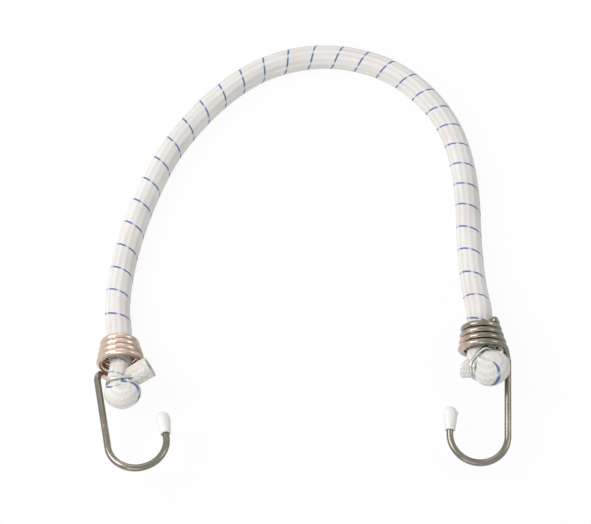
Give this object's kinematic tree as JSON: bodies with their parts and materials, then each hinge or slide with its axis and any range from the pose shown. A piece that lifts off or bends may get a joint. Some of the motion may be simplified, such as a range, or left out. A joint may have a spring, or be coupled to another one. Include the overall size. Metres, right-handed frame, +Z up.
{
  "type": "bungee cord",
  "caption": "White elastic cord in a braided sleeve, laid in an arch, with a coiled wire hook and a soft tip cap at each folded and clipped end.",
  "frame": {"origin": "on the table, midway between the two hooked ends, without the free cord", "axes": "+X from the left hook to the right hook, +Y from the hooks to the top of the cord's arch, +Z up from the table"},
  "size_m": [0.161, 0.2013, 0.0197],
  "materials": {
    "braided_sleeve": "fine white yarn braid with a thin blue tracer that winds left-handed",
    "rubber_core": "matt natural rubber",
    "hook_steel": "steel wire with a pale yellow zinc plating",
    "clip_steel": "bright zinc-plated steel wire",
    "cap_plastic": "soft dip-moulded plastic, off-white"
  },
  "bodies": {
    "left_end": {"cord_sleeve": "braided_sleeve", "core_strand_1": "rubber_core", "core_strand_2": "rubber_core", "core_strand_3": "rubber_core", "core_strand_4": "rubber_core", "core_strand_5": "rubber_core", "core_strand_6": "rubber_core", "core_strand_7": "rubber_core", "left_end_sleeve": "braided_sleeve", "left_end_strand_1": "rubber_core", "left_end_strand_2": "rubber_core", "left_end_strand_3": "rubber_core", "left_end_strand_4": "rubber_core", "left_end_strand_5": "rubber_core", "left_end_strand_6": "rubber_core", "left_end_strand_7": "rubber_core", "left_clip": "clip_steel"},
    "left_hook": {"left_hook_wire": "hook_steel", "left_tip_cap": "cap_plastic"},
    "right_end": {"right_end_sleeve": "braided_sleeve", "right_end_strand_1": "rubber_core", "right_end_strand_2": "rubber_core", "right_end_strand_3": "rubber_core", "right_end_strand_4": "rubber_core", "right_end_strand_5": "rubber_core", "right_end_strand_6": "rubber_core", "right_end_strand_7": "rubber_core", "right_clip": "clip_steel"},
    "right_hook": {"right_hook_wire": "hook_steel", "right_tip_cap": "cap_plastic"}
  },
  "joints": [
    {"name": "cord_stretch", "type": "slide", "parent": "left_end", "child": "right_end", "axis": [1, 0, 0], "range_m": [0, 0.3], "stiffness_N_per_m": 400, "deforming": ["cord_sleeve", "core_strand_1", "core_strand_2", "core_strand_3", "core_strand_4", "core_strand_5", "core_strand_6", "core_strand_7"]},
    {"name": "left_hook_swivel", "type": "hinge", "parent": "left_end", "child": "left_hook", "pos_m": [-0.07025, 0.01113, 0.00978], "axis": [-0.1034, 0.9841, -0.1444], "range_deg": [-90, 120]},
    {"name": "right_hook_swivel", "type": "hinge", "parent": "right_end", "child": "right_hook", "pos_m": [0.07005, 0.01834, 0.00936], "axis": [-0.0435, 0.9971, 0.0628], "range_deg": [-3, 150]}
  ]
}
